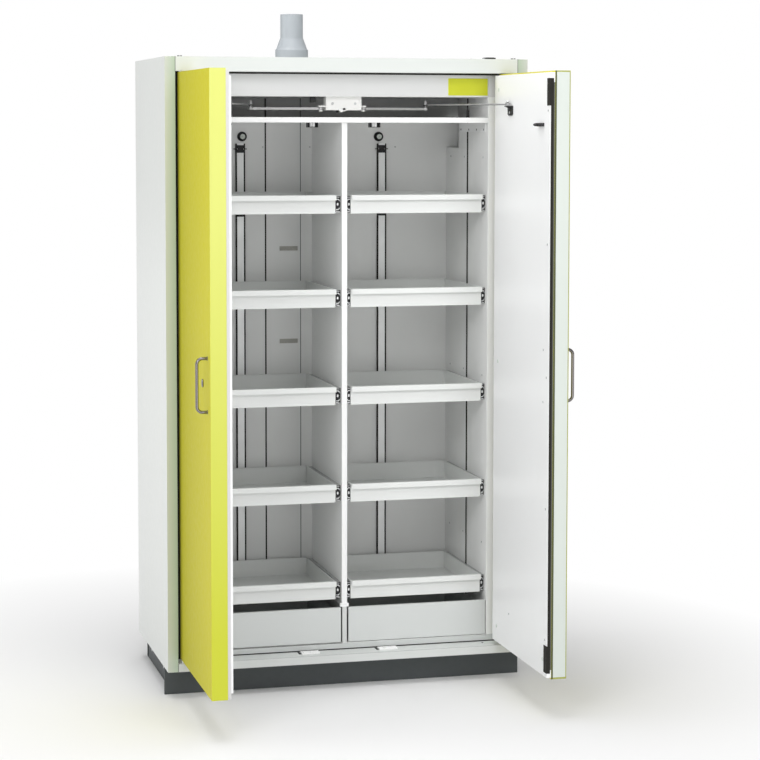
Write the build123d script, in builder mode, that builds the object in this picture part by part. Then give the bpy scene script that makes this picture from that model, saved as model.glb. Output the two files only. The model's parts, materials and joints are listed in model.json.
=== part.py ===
from build123d import *
import os
import math

os.makedirs("parts", exist_ok=True)

# ---------------------------------------------------------------------------
# Two-door fire-resistant storage cabinet, doors open 90 degrees at rest.
# Frame: origin on the floor under the middle of the casing, X to the right,
# Y from front to back, Z up.  All lengths in millimetres.
# ---------------------------------------------------------------------------

# casing
W = 1197.0            # width over the side covers
D = 622.0             # depth of the casing
H = 2052.0            # top of the casing above the floor
Z_PLINTH = 88.0       # top of the plinth
YF = -D / 2           # front plane of the casing
YR = D / 2            # rear plane
XO = W / 2            # outer side plane
T = 1.5               # sheet of the casing and liner
X_STRIP = 565.0       # inner edge of the front strips
Z_FASCIA = 2006.0     # lower edge of the roof fascia
Z_SILL = 115.0        # top of the threshold
REBATE = 67.0         # depth of the door rebate

# storage space
X_IN = 486.0          # inner side walls
Z_FLOOR = 137.0       # inner floor
Z_CEIL = 1929.0       # inner ceiling
Y_BACK = YF + 558.0   # inner rear wall
Z_BOARD0, Z_BOARD1 = 1845.0, 1862.0   # panel under the closer compartment
PART_X0, PART_X1 = -7.0, 11.0   # faces of the partition
SLOT_Y0, SLOT_Y1 = YF + 293.0, YF + 311.0   # air slot in the side walls
Z_NOTCH = 1760.0      # lower edge of the air passage in the upper rear corners
X_DUCT = 530.0        # inner face of the side insulation, behind the air gap
PART_Y1 = YF + 517.0  # rear edge of the partition

# doors (rest pose: open)
PIVOT_X, PIVOT_Y = 550.0, YF + 4.0
DOOR_Z0, DOOR_Z1 = 129.0, 2003.0
DOOR_OUT = 556.0      # outer face when open
SKIN_IN = 507.0       # inner edge of the coloured skin when open
BASE_IN = 497.0       # inner pan, base step of the left door
PLATE_IN = 492.0      # inner pan, main face
DOOR_FREE = YF - 544.0
DOOR_HINGE = YF + 16.0
TS = 1.2              # door sheet
PIN_R = 4.0
TAIL_R = 2.2          # thinner end of a pivot pin inside the casing
RUN = 0.05            # radial running clearance

# closer linkage
ARM_X, ARM_Y = 71.0, YF + 108.0
TIP_X, TIP_Y = 294.0, YF + 150.0
BR_X, BR_Y = 479.0, YF - 163.0

# pan shelves
TRAY_Z = [1549.5, 1243.0, 922.0, 600.0, 278.0]   # undersides, top to bottom
TRAY_H = 60.0
TRAY_W = 446.0
TRAY_X0 = 25.5        # inner side of a tray, measured from the middle
TRAY_Y0, TRAY_Y1 = YF + 92.0, YF + 519.0
LIP_H, LIP_D = 17.0, 12.0
TT = 1.5
RAIL_Y0, RAIL_Y1 = YF + 96.0, YF + 515.0
RAIL_H = 53.0
RUNNER_H = 38.0


def block(x0, x1, y0, y1, z0, z1, mode=Mode.ADD):
    """A plate or bar between two corners, in the part being built."""
    with Locations(((x0 + x1) / 2, (y0 + y1) / 2, (z0 + z1) / 2)):
        Box(abs(x1 - x0), abs(y1 - y0), abs(z1 - z0), mode=mode)


# ---------------------------------------------------------------------------
# casing
# ---------------------------------------------------------------------------
with BuildPart() as side_cover_right:
    with BuildSketch(Plane.XY.offset(Z_PLINTH)):
        with BuildLine():
            Polyline(
                (575, YR), (XO, YR), (XO, YF), (X_STRIP, YF), (X_STRIP, YF + REBATE),
                (X_STRIP + T, YF + REBATE), (X_STRIP + T, YF + T), (XO - T, YF + T),
                (XO - T, YR - T), (575, YR - T), close=True,
            )
        make_face()
    extrude(amount=H - Z_PLINTH)
    # folded top and bottom flanges
    block(X_STRIP, XO, YF, YR, H - T, H)
    block(X_STRIP, XO, YF, YR, Z_PLINTH, Z_PLINTH + T)
side_cover_right.part.label = "side_cover_right"

with BuildPart() as side_cover_left:
    mirror(side_cover_right.part, about=Plane.YZ)
side_cover_left.part.label = "side_cover_left"

SPIGOT_X, SPIGOT_Y = -116.0, YF + 340.0
with BuildPart() as top_cover:
    with BuildSketch(Plane.YZ.offset(-X_STRIP + 0.2)):
        with BuildLine():
            Polyline(
                (YF, Z_FASCIA), (YF + REBATE, Z_FASCIA), (YF + REBATE, Z_FASCIA + T),
                (YF + T, Z_FASCIA + T), (YF + T, H - T), (YR - T, H - T), (YR - T, H),
                (YF, H), close=True,
            )
        make_face()
    extrude(amount=2 * X_STRIP - 0.4)
    with Locations((SPIGOT_X, SPIGOT_Y, H)):
        Cylinder(50.5, 10, mode=Mode.SUBTRACT)
    with Locations((PIVOT_X, PIVOT_Y, H), (-PIVOT_X, PIVOT_Y, H)):
        Cylinder(TAIL_R + 0.2, 10, mode=Mode.SUBTRACT)
    with Locations((PIVOT_X, PIVOT_Y, Z_FASCIA), (-PIVOT_X, PIVOT_Y, Z_FASCIA)):
        Cylinder(TAIL_R + 0.2, 10, mode=Mode.SUBTRACT)
top_cover.part.label = "top_cover"

with BuildPart() as rear_cover:
    block(-574.8, 574.8, YR - T, YR, Z_PLINTH + T, H - T)
    # stiffening folds along the upright edges
    block(-574.8, -574.8 + T, YR - 14, YR, Z_PLINTH + 2, H - T - 1)
    block(574.8 - T, 574.8, YR - 14, YR, Z_PLINTH + 2, H - T - 1)
rear_cover.part.label = "rear_cover"

with BuildPart() as base_cover:
    with BuildSketch(Plane.YZ.offset(-X_STRIP + 0.2)):
        with BuildLine():
            Polyline(
                (YF, Z_PLINTH), (YR - 14.5, Z_PLINTH), (YR - 14.5, Z_PLINTH + T),
                (YF + T, Z_PLINTH + T), (YF + T, Z_SILL - T), (YF + REBATE, Z_SILL - T),
                (YF + REBATE, Z_SILL), (YF, Z_SILL), close=True,
            )
        make_face()
    extrude(amount=2 * X_STRIP - 0.4)
    with Locations((PIVOT_X, PIVOT_Y, Z_SILL), (-PIVOT_X, PIVOT_Y, Z_SILL)):
        Cylinder(TAIL_R + 0.2, 10, mode=Mode.SUBTRACT)
    # welded striker plates on the threshold
    for xa, xb in ((-153.5, -92.5), (107.5, 170.5)):
        block(xa, xb, YF + 28, YF + 57, Z_SILL - T / 2, Z_SILL + 2.5)
base_cover.part.label = "base_cover"

with BuildPart() as insulation_boards:
    for s in (-1, 1):
        block(s * X_DUCT, s * (XO - T - 0.5), YF + 69, YR - 16, Z_PLINTH + 2, H - 2)
        block(s * (X_STRIP + 3), s * (XO - T - 0.5), YF + 4, YF + 66, Z_PLINTH + 4, H - 4)
    block(-X_DUCT + 0.5, X_DUCT - 0.5, Y_BACK + 4, YR - 16, Z_PLINTH + 2, H - 2)          # back
    block(-X_DUCT + 0.5, X_DUCT - 0.5, YF + 69, Y_BACK + 3.5, Z_PLINTH + 2, Z_FLOOR - 2)  # floor
    block(-X_DUCT + 0.5, X_DUCT - 0.5, YF + 69, Y_BACK + 3.5, 1976, H - 2)                # roof
    with Locations((SPIGOT_X, SPIGOT_Y, (Z_CEIL + H) / 2)):
        Cylinder(51, 200, mode=Mode.SUBTRACT)
    block(-535, 535, YF + 4, YF + 64, Z_FASCIA + 3, H - 3)                                # fascia
insulation_boards.part.label = "insulation_boards"

G = 0.2               # joint between neighbouring liner sheets
with BuildPart() as liner_panels:
    for s in (-1, 1):
        # front side panel with a fold beside the air slot
        block(s * X_IN, s * (X_IN + T), YF + REBATE + T + G, SLOT_Y0, Z_FLOOR + G, Z_CEIL - G)
        block(s * X_IN, s * (X_IN + 12), SLOT_Y0 - T, SLOT_Y0, Z_FLOOR + G, Z_CEIL - G)
        # rear side panel; above it a narrow strip leaves the air passage open
        block(s * X_IN, s * (X_IN + T), SLOT_Y1, Y_BACK - G, Z_FLOOR + G, Z_NOTCH)
        block(s * X_IN, s * (X_IN + 12), SLOT_Y1, SLOT_Y1 + T, Z_FLOOR + G, Z_NOTCH)
        block(s * X_IN, s * (X_DUCT - 2), YF + 403, Y_BACK - G, Z_NOTCH - T, Z_NOTCH)
        block(s * X_IN, s * (X_IN + T), SLOT_Y1, YF + 403, Z_NOTCH + G, Z_CEIL - G)
        block(s * X_IN, s * (X_IN + 12), SLOT_Y1, SLOT_Y1 + T, Z_NOTCH + G, Z_CEIL - G)
    # rear wall in three panels, reaching behind the side panels
    block(-X_DUCT + 2, -163.5, Y_BACK, Y_BACK + T, Z_FLOOR + G, Z_CEIL - G)
    block(-158.5, -39.2, Y_BACK, Y_BACK + T, Z_FLOOR + G, Z_CEIL - G)
    block(-36.6, X_DUCT - 2, Y_BACK, Y_BACK + T, Z_FLOOR + G, Z_CEIL - G)
    for z in (1405, 1084):
        block(-112, -48, Y_BACK - 2, Y_BACK + 3, z, z + 15, mode=Mode.SUBTRACT)
    # floor and ceiling
    block(-X_DUCT + 2, X_DUCT - 2, YF + REBATE + T + G, Y_BACK + T, Z_FLOOR - T, Z_FLOOR)
    block(-X_DUCT + 2, X_DUCT - 2, YF + REBATE + T + G, Y_BACK + T, Z_CEIL, Z_CEIL + T)
    with Locations((SPIGOT_X, SPIGOT_Y, Z_CEIL)):
        Cylinder(46, 10, mode=Mode.SUBTRACT)
liner_panels.part.label = "liner_panels"

with BuildPart() as front_frame:
    y0, y1 = YF + REBATE, YF + REBATE + T
    for s in (-1, 1):
        block(s * X_IN, s * (X_STRIP + T), y0, y1, Z_SILL - T, Z_FASCIA + T)              # jamb
    block(-X_IN + G, X_IN - G, y0, y1, Z_CEIL, Z_FASCIA + T)                              # header
    block(-X_IN + G, X_IN - G, y0, y1, Z_SILL + 3, Z_FLOOR)                               # bottom rail
front_frame.part.label = "front_frame"

with BuildPart() as top_board:
    with BuildSketch(Plane.YZ.offset(-X_IN + 0.4)):
        with BuildLine():
            Polyline(
                (YF + 67, Z_BOARD0), (YF + 110, Z_BOARD0), (YF + 110, Z_BOARD0 + T),
                (YF + 67 + T, Z_BOARD0 + T), (YF + 67 + T, Z_BOARD1 - T),
                (Y_BACK - 1 - T, Z_BOARD1 - T), (Y_BACK - 1 - T, Z_BOARD0),
                (Y_BACK - 1, Z_BOARD0), (Y_BACK - 1, Z_BOARD1), (YF + 67, Z_BOARD1),
                close=True,
            )
        make_face()
    extrude(amount=2 * X_IN - 0.8)
    # support angles along the side walls
    for s in (-1, 1):
        block(s * (X_IN - 2.5), s * (X_IN - 0.5), YF + 92, YF + 391, 1815, Z_BOARD0 - G)
top_board.part.label = "top_board"

with BuildPart() as partition:
    # hollow upright panel
    with BuildSketch(Plane.XY.offset(Z_FLOOR)):
        with Locations(((PART_X0 + PART_X1) / 2, (YF + 80 + PART_Y1) / 2)):
            Rectangle(PART_X1 - PART_X0, PART_Y1 - YF - 80)
            Rectangle(PART_X1 - PART_X0 - 2.4, PART_Y1 - YF - 80 - 2.4, mode=Mode.SUBTRACT)
    extrude(amount=Z_BOARD0 - 0.5 - Z_FLOOR)
    # foot post and the widened cap over the sump drawers
    block(-7.5, 7.5, YF + 70, YF + 81, Z_FLOOR, 256)
    block(-14.5, 14.5, YF + 71, YF + 81, 256, 267)
partition.part.label = "partition"

# ---------------------------------------------------------------------------
# plinth and feet
# ---------------------------------------------------------------------------
with BuildPart() as plinth_front:
    with BuildSketch():
        with BuildLine():
            Polyline(
                (-XO, YF + 70), (XO, YF + 70), (XO, YF + 81.5), (XO - 2, YF + 81.5),
                (XO - 2, YF + 72), (-XO + 2, YF + 72), (-XO + 2, YF + 81.5), (-XO, YF + 81.5),
                close=True,
            )
        make_face()
    extrude(amount=Z_PLINTH - 0.1)
plinth_front.part.label = "plinth_front"

XP = 570.0            # outer face of the side rails
RAIL_W = 30.0         # width of the channel rails


def channel(x0, x1, y0, y1, web):
    """A channel rail of the plinth: two flanges and an upright web on the named side."""
    block(x0, x1, y0, y1, 0, 3)
    block(x0, x1, y0, y1, Z_PLINTH - 3, Z_PLINTH)
    if web == "front":
        block(x0, x1, y0, y0 + 3, 0, Z_PLINTH)
    elif web == "back":
        block(x0, x1, y1 - 3, y1, 0, Z_PLINTH)
    elif web == "left":
        block(x0, x0 + 3, y0, y1, 0, Z_PLINTH)
    elif web == "right":
        block(x1 - 3, x1, y0, y1, 0, Z_PLINTH)
    else:
        block((x0 + x1) / 2 - 1.5, (x0 + x1) / 2 + 1.5, y0, y1, 0, Z_PLINTH)


with BuildPart() as plinth_frame:
    channel(-XP, XP, YF + 82, YF + 82 + RAIL_W, "front")
    channel(-XP, XP, YR - RAIL_W, YR, "back")
    ya, yb = YF + 82 + RAIL_W + G, YR - RAIL_W - G
    channel(-XP, -XP + RAIL_W, ya, yb, "left")
    channel(XP - RAIL_W, XP, ya, yb, "right")
    channel(-RAIL_W / 2, RAIL_W / 2, ya, yb, "middle")
    # corner gussets for the levelling feet
    for s in (-1, 1):
        block(s * 490, s * (XP - 3 - G), YF + 85 + G, YF + 165, 58, 62)
        block(s * 490, s * (XP - 3 - G), YR - 83, YR - 3 - G, 58, 62)
    with Locations(*[(s * 515, y, 60) for s in (-1, 1) for y in (YF + 140, YR - 58)]):
        Cylinder(6.05, 12, mode=Mode.SUBTRACT)
plinth_frame.part.label = "plinth_frame"

with BuildPart() as levelling_feet:
    with Locations(*[(s * 515, y, 0) for s in (-1, 1) for y in (YF + 140, YR - 58)]):
        Cylinder(21, 6, align=(Align.CENTER, Align.CENTER, Align.MIN))
        Cone(21, 9, 6, align=(Align.CENTER, Align.CENTER, Align.MIN), rotation=(0, 0, 0))
    with Locations(*[(s * 515, y, 5) for s in (-1, 1) for y in (YF + 140, YR - 58)]):
        Cylinder(6, 75, align=(Align.CENTER, Align.CENTER, Align.MIN))
    with BuildSketch(Plane.XY.offset(47)):
        with Locations(*[(s * 515, y) for s in (-1, 1) for y in (YF + 140, YR - 58)]):
            RegularPolygon(11, 6)
    extrude(amount=10.9)
levelling_feet.part.label = "levelling_feet"

# ---------------------------------------------------------------------------
# exhaust spigot, ducts and valves
# ---------------------------------------------------------------------------
with BuildPart() as exhaust_spigot:
    with BuildSketch(Plane.XZ):
        with BuildLine():
            Polyline(
                (50, Z_CEIL + T), (50, H), (54.5, H), (54.5, 2086), (51.5, 2089), (37.5, 2127),
                (37.5, 2204), (35, 2204), (35, 2126), (47.5, 2089), (47.5, Z_CEIL + T),
                close=True,
            )
        make_face()
    revolve(axis=Axis.Z)
SPIGOT = exhaust_spigot.part.moved(Location((SPIGOT_X, SPIGOT_Y, 0)))
SPIGOT.label = "exhaust_spigot"

DUCT_X = 250.0
with BuildPart() as air_ducts:
    for s in (-1, 1):
        # shallow channel on the rear wall with a raised cover along its middle
        block(s * (DUCT_X - 16.5), s * (DUCT_X + 16.5), Y_BACK - T, Y_BACK, 150, 1774)
        block(s * (DUCT_X - 16.5), s * (DUCT_X - 15), Y_BACK - 8, Y_BACK, 150, 1774)
        block(s * (DUCT_X + 15), s * (DUCT_X + 16.5), Y_BACK - 8, Y_BACK, 150, 1774)
        block(s * (DUCT_X - 12), s * (DUCT_X + 12), Y_BACK - 8, Y_BACK - T, 150, 1776)
        block(s * (DUCT_X - 10.5), s * (DUCT_X + 10.5), Y_BACK - 6.5, Y_BACK - T, 149, 1774.5, mode=Mode.SUBTRACT)
air_ducts.part.label = "air_ducts"

CLIP_Z = [1768 - 26] + [z - 26 for z in TRAY_Z[:4]]
with BuildPart() as duct_fittings:
    # waisted snap clips across each duct
    for s in (-1, 1):
        for z in CLIP_Z:
            with BuildSketch(Plane.XZ.offset(-(Y_BACK - 8))):
                with BuildLine():
                    Polyline(
                        (s * DUCT_X - 14, z), (s * DUCT_X + 14, z), (s * DUCT_X + 14, z + 8),
                        (s * DUCT_X + 9, z + 13), (s * DUCT_X + 14, z + 18),
                        (s * DUCT_X + 14, z + 26), (s * DUCT_X - 14, z + 26),
                        (s * DUCT_X - 14, z + 18), (s * DUCT_X - 9, z + 13),
                        (s * DUCT_X - 14, z + 8), close=True,
                    )
                make_face()
            extrude(amount=4)
    # round air valves with their noses
    for x in (-243, 239.5):
        with Locations(Location((x, Y_BACK, 1797.5), (90, 0, 0))):
            Cylinder(16.5, 5, align=(Align.CENTER, Align.CENTER, Align.MIN))
        with Locations(Location((x, Y_BACK - 5, 1797.5), (90, 0, 0))):
            Cone(14.5, 9, 6, align=(Align.CENTER, Align.CENTER, Align.MIN))
        with Locations(Location((x, Y_BACK - 11, 1797.5), (90, 0, 0))):
            Cylinder(9, 3, align=(Align.CENTER, Align.CENTER, Align.MIN))
duct_fittings.part.label = "duct_fittings"

# ---------------------------------------------------------------------------
# closer housing, hinge pins, catches, slide rails
# ---------------------------------------------------------------------------
with BuildPart() as closer_housing:
    block(-57, 61, YF + 90, YF + 126, 1885, Z_CEIL)                # block
    for s, x in ((-1, -56), (1, 60)):
        # ear with the arm's pivot stud
        block(x, s * 79, YF + 100, YF + 116, 1895.2, 1900)
        with Locations((s * ARM_X, ARM_Y, 1881)):
            Cylinder(PIN_R, 16, align=(Align.CENTER, Align.CENTER, Align.MIN))
        with Locations((s * ARM_X, ARM_Y, 1881)):
            Cylinder(6.5, 4, align=(Align.CENTER, Align.CENTER, Align.MIN))
    # pointed release tab on the lower front edge
    with BuildSketch(Plane.XZ.offset(-(YF + 91))):
        with BuildLine():
            Polyline((-15.5, 1885.7), (-9, 1878.6), (-5.5, 1878.6), (16.5, 1885.7),
                     (16.5, 1890), (-15.5, 1890), close=True)
        make_face()
    extrude(amount=2.5)
closer_housing.part.label = "closer_housing"

with BuildPart() as hinge_pins:
    for s in (-1, 1):
        # upper pin, its thinner end through the fascia and its cap on the roof
        with Locations((s * PIVOT_X, PIVOT_Y, DOOR_Z1 - 18)):
            Cylinder(PIN_R, Z_FASCIA - DOOR_Z1 + 18, align=(Align.CENTER, Align.CENTER, Align.MIN))
        with Locations((s * PIVOT_X, PIVOT_Y, Z_FASCIA - 1)):
            Cylinder(TAIL_R, H - Z_FASCIA + 2, align=(Align.CENTER, Align.CENTER, Align.MIN))
        with Locations((s * PIVOT_X, PIVOT_Y, H)):
            Cylinder(PIN_R, 3, align=(Align.CENTER, Align.CENTER, Align.MIN))
        # lower pin on the threshold
        with Locations((s * PIVOT_X, PIVOT_Y, Z_PLINTH + T)):
            Cylinder(TAIL_R, Z_SILL - Z_PLINTH, align=(Align.CENTER, Align.CENTER, Align.MIN))
        with Locations((s * PIVOT_X, PIVOT_Y, Z_SILL)):
            Cylinder(PIN_R, DOOR_Z0 + 18 - Z_SILL, align=(Align.CENTER, Align.CENTER, Align.MIN))
hinge_pins.part.label = "hinge_pins"

with BuildPart() as door_catches:
    for s in (-1, 1):
        # catch housing under the board, open towards the door
        block(s * 87, s * 121, YF + 76, YF + 102, 1829.5, 1831)
        block(s * 87, s * 89.5, YF + 76, YF + 102, 1829.5, Z_BOARD0)
        block(s * 118.5, s * 121, YF + 76, YF + 102, 1829.5, Z_BOARD0)
        block(s * 87, s * 121, YF + 93, YF + 102, 1829.5, Z_BOARD0)
    # small sensor block under the ceiling beside the closer
    block(-110, -92, YF + 84, YF + 96, 1910, Z_CEIL)
door_catches.part.label = "door_catches"

with BuildPart() as slide_rails:
    for z0 in TRAY_Z:
        zc = z0 + 30
        for wall, inward, deep in ((X_IN, -1, 8), (PART_X1, 1, 8), (-X_IN, 1, 8), (PART_X0, -1, 12)):
            with BuildSketch(Plane.XZ.offset(-RAIL_Y1)):
                with BuildLine():
                    Polyline(
                        (wall, zc - RAIL_H / 2), (wall + inward * deep, zc - RAIL_H / 2),
                        (wall + inward * deep, zc - RAIL_H / 2 + T), (wall + inward * T, zc - RAIL_H / 2 + T),
                        (wall + inward * T, zc + RAIL_H / 2 - T), (wall + inward * deep, zc + RAIL_H / 2 - T),
                        (wall + inward * deep, zc + RAIL_H / 2), (wall, zc + RAIL_H / 2), close=True,
                    )
                make_face()
            extrude(amount=RAIL_Y1 - RAIL_Y0)
slide_rails.part.label = "slide_rails"

# ---------------------------------------------------------------------------
# right door (open); the left one is its mirror image where they are alike
# ---------------------------------------------------------------------------
with BuildPart() as door_skin_right:
    block(SKIN_IN, DOOR_OUT, DOOR_FREE, DOOR_HINGE, DOOR_Z0, DOOR_Z1)
    block(SKIN_IN - 1, DOOR_OUT - TS, DOOR_FREE + TS, DOOR_HINGE - TS, DOOR_Z0 + TS, DOOR_Z1 - TS,
          mode=Mode.SUBTRACT)
    # return flange behind the inner pan
    block(SKIN_IN, SKIN_IN + TS, DOOR_FREE, DOOR_HINGE, DOOR_Z0, DOOR_Z0 + 14)
    block(SKIN_IN, SKIN_IN + TS, DOOR_FREE, DOOR_HINGE, DOOR_Z1 - 14, DOOR_Z1)
    block(SKIN_IN, SKIN_IN + TS, DOOR_FREE, DOOR_FREE + 14, DOOR_Z0, DOOR_Z1)
    block(SKIN_IN, SKIN_IN + TS, DOOR_HINGE - 28, DOOR_HINGE, DOOR_Z0, DOOR_Z1)
    # clearance for the pivot pins
    with Locations((PIVOT_X, PIVOT_Y, DOOR_Z0), (PIVOT_X, PIVOT_Y, DOOR_Z1)):
        Cylinder(PIN_R + 0.4, 8, mode=Mode.SUBTRACT)
    # eased hinge edge
    chamfer(
        door_skin_right.edges().filter_by(Axis.Z)
        .filter_by_position(Axis.X, DOOR_OUT - 0.1, DOOR_OUT + 0.1)
        .sort_by(Axis.Y)[-1],
        length=0.9,
    )
door_skin_right.part.label = "door_skin_right"

with BuildPart() as door_skin_left:
    mirror(door_skin_right.part, about=Plane.YZ)
    # hole for the lock cylinder
    with Locations(Location((-DOOR_OUT, YF - 419, 1066), (0, 90, 0))):
        Cylinder(10.2, 20, mode=Mode.SUBTRACT)
door_skin_left.part.label = "door_skin_left"

with BuildPart() as door_core_right:
    block(SKIN_IN + TS + 0.3, DOOR_OUT - TS - 0.3, DOOR_FREE + TS + 0.5, DOOR_HINGE - TS - 0.5,
          DOOR_Z0 + TS + 0.5, DOOR_Z1 - TS - 0.5)
    for z0, z1 in ((DOOR_Z0, DOOR_Z0 + 30), (DOOR_Z1 - 30, DOOR_Z1)):
        block(524, DOOR_OUT, YF - 32, DOOR_HINGE, z0, z1, mode=Mode.SUBTRACT)
door_core_right.part.label = "door_core_right"

with BuildPart() as door_core_left:
    mirror(door_core_right.part, about=Plane.YZ)
    with Locations(Location((-DOOR_OUT + 16, YF - 419, 1066), (0, 90, 0))):
        Cylinder(11, 40, mode=Mode.SUBTRACT)
door_core_left.part.label = "door_core_left"

with BuildPart() as door_pan_right:
    # deep flat pan
    block(PLATE_IN, SKIN_IN, YF - 543, YF + 13, 134, 1998)
    block(PLATE_IN + TS, SKIN_IN + 1, YF - 543 + TS, YF + 13 - TS, 134 + TS, 1998 - TS, mode=Mode.SUBTRACT)
door_pan_right.part.label = "door_pan_right"

with BuildPart() as door_pan_left:
    # base, main face and the raised strip along the free edge
    block(-SKIN_IN, -BASE_IN, YF - 543, YF + 13, 131, 1999)
    block(-BASE_IN, -PLATE_IN, YF - 513, YF + 13, 148, 1981)
    block(-BASE_IN, -490.5, YF - 541, YF - 513, 148, 1981)
    block(-SKIN_IN - 1, -BASE_IN - TS, YF - 543 + TS, YF + 13 - TS, 131 + TS, 1999 - TS, mode=Mode.SUBTRACT)
    block(-BASE_IN - 2, -PLATE_IN - TS, YF - 541 + TS, YF + 13 - TS, 148 + TS, 1981 - TS, mode=Mode.SUBTRACT)
    block(-BASE_IN - 2, -490.5 - TS, YF - 541 + TS, YF - 513 - TS, 148 + TS, 1981 - TS, mode=Mode.SUBTRACT)
door_pan_left.part.label = "door_pan_left"

with BuildPart() as door_seal_right:
    # strip on the free edge, with end blocks that wrap onto the inner face
    block(494, 502.7, YF - 544.5, YF - 543, 148, 1980)
    for z0, z1 in ((148, 233), (1897, 1980)):
        block(490.5, 503, YF - 544.5, YF - 543, z0, z1)
        block(490.5, PLATE_IN, YF - 543, YF - 516, z0, z1)
door_seal_right.part.label = "door_seal_right"

with BuildPart() as door_edge_plate:
    block(512, 552.7, DOOR_FREE - 1.5, DOOR_FREE, 135, 1998.5)
door_edge_plate.part.label = "door_edge_plate"

# D-shaped bow handle
HY, HZ0, HZ1, HX = YF - 493, 987.5, 1147.5, 587.5
with BuildPart() as door_handle_right:
    with BuildLine():
        FilletPolyline((DOOR_OUT, HY, HZ0), (HX, HY, HZ0), (HX, HY, HZ1), (DOOR_OUT, HY, HZ1), radius=17)
    with BuildSketch(Plane(origin=(DOOR_OUT, HY, HZ0), z_dir=(1, 0, 0))):
        Circle(4.8)
    sweep()
door_handle_right.part.label = "door_handle_right"

with BuildPart() as door_handle_left:
    mirror(door_handle_right.part, about=Plane.YZ)
door_handle_left.part.label = "door_handle_left"

# pivot blocks, closer bracket and catch pin of each door
CATCH_Y, CATCH_Z = YF - 442.5, 1839.0
with BuildPart() as door_fittings_right:
    for z0, z1 in ((DOOR_Z0 + TS, DOOR_Z0 + 22), (DOOR_Z1 - 22, DOOR_Z1 - TS)):
        block(528, DOOR_OUT - TS - 0.1, YF - 24, DOOR_HINGE - TS - 0.1, z0, z1)
        with Locations((PIVOT_X, PIVOT_Y, (z0 + z1) / 2)):
            Cylinder(PIN_R + RUN, 40, mode=Mode.SUBTRACT)
    # bracket: rounded plate on the pan, shelf with a gusset, stud
    with BuildSketch(Plane.YZ.offset(PLATE_IN - 3)):
        with Locations((YF - 154, 1885)):
            Rectangle(50, 28)
        with Locations((YF - 154, 1876)):
            Rectangle(36, 16)
    extrude(amount=3)
    block(BR_X - 8, PLATE_IN - 2, BR_Y - 11, BR_Y + 11, 1896, 1899)
    with BuildSketch(Plane.XZ.offset(-(BR_Y + 2))):
        with BuildLine():
            Polyline((PLATE_IN - 2, 1886), (BR_X - 8, 1896), (BR_X - 8, 1898), (PLATE_IN - 2, 1898), close=True)
        make_face()
    extrude(amount=4)
    with Locations((BR_X, BR_Y, 1898)):
        Cylinder(PIN_R, 13, align=(Align.CENTER, Align.CENTER, Align.MIN))
    # catch nose on its base
    block(PLATE_IN - 8, PLATE_IN, YF - 487, YF - 437, 1833.5, 1844.3)
    with BuildSketch(Plane.XY.offset(CATCH_Z)):
        with BuildLine():
            Polyline(
                (PLATE_IN - 7, CATCH_Y), (PLATE_IN - 7, CATCH_Y + 5), (PLATE_IN - 15, CATCH_Y + 5),
                (PLATE_IN - 21, CATCH_Y + 2), (PLATE_IN - 21, CATCH_Y), close=True,
            )
        make_face()
    revolve(axis=Axis((PLATE_IN, CATCH_Y, CATCH_Z), (1, 0, 0)))
door_fittings_right.part.label = "door_fittings_right"

with BuildPart() as door_fittings_left:
    mirror(door_fittings_right.part, about=Plane.YZ)
door_fittings_left.part.label = "door_fittings_left"

# cylinder lock in the left door
LOCK = Location((-DOOR_OUT, YF - 419, 1066), (0, -90, 0))
with BuildPart() as lock_body:
    with Locations(LOCK):
        Cylinder(12.5, 3, align=(Align.CENTER, Align.CENTER, Align.MIN))
        Cylinder(10, 34, align=(Align.CENTER, Align.CENTER, Align.MAX))
        Cylinder(7.05, 90, mode=Mode.SUBTRACT)
lock_body.part.label = "lock_body"

with BuildPart() as lock_barrel:
    with Locations(LOCK):
        Cylinder(7, 3.6, align=(Align.CENTER, Align.CENTER, Align.MIN))
        Cylinder(7, 33, align=(Align.CENTER, Align.CENTER, Align.MAX))
    with Locations(Location((-DOOR_OUT - 3.6, YF - 419, 1066))):
        Box(4, 1.6, 8, mode=Mode.SUBTRACT)
lock_barrel.part.label = "lock_barrel"

# ---------------------------------------------------------------------------
# closer arms and rods
# ---------------------------------------------------------------------------
ARM_L = math.hypot(TIP_X - ARM_X, TIP_Y - ARM_Y)
ARM_A = math.degrees(math.atan2(TIP_Y - ARM_Y, TIP_X - ARM_X))
ROD_L = math.hypot(TIP_X - BR_X, TIP_Y - BR_Y)
ROD_A = math.degrees(math.atan2(TIP_Y - BR_Y, TIP_X - BR_X))
print("arm", round(ARM_L, 2), round(ARM_A, 3), "rod", round(ROD_L, 2), round(ROD_A, 3))

with BuildPart() as closer_arm_right:
    with BuildSketch(Plane.XY.offset(1886)):
        with Locations(Location(((ARM_X + TIP_X) / 2, (ARM_Y + TIP_Y) / 2, 0), (0, 0, ARM_A))):
            Rectangle(ARM_L, 11)
        with Locations((ARM_X, ARM_Y), (TIP_X, TIP_Y)):
            Circle(8.5)
        with Locations((ARM_X, ARM_Y)):
            Circle(PIN_R + RUN, mode=Mode.SUBTRACT)
    extrude(amount=8)
closer_arm_right.part.label = "closer_arm_right"

with BuildPart() as closer_arm_left:
    mirror(closer_arm_right.part, about=Plane.YZ)
closer_arm_left.part.label = "closer_arm_left"

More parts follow.
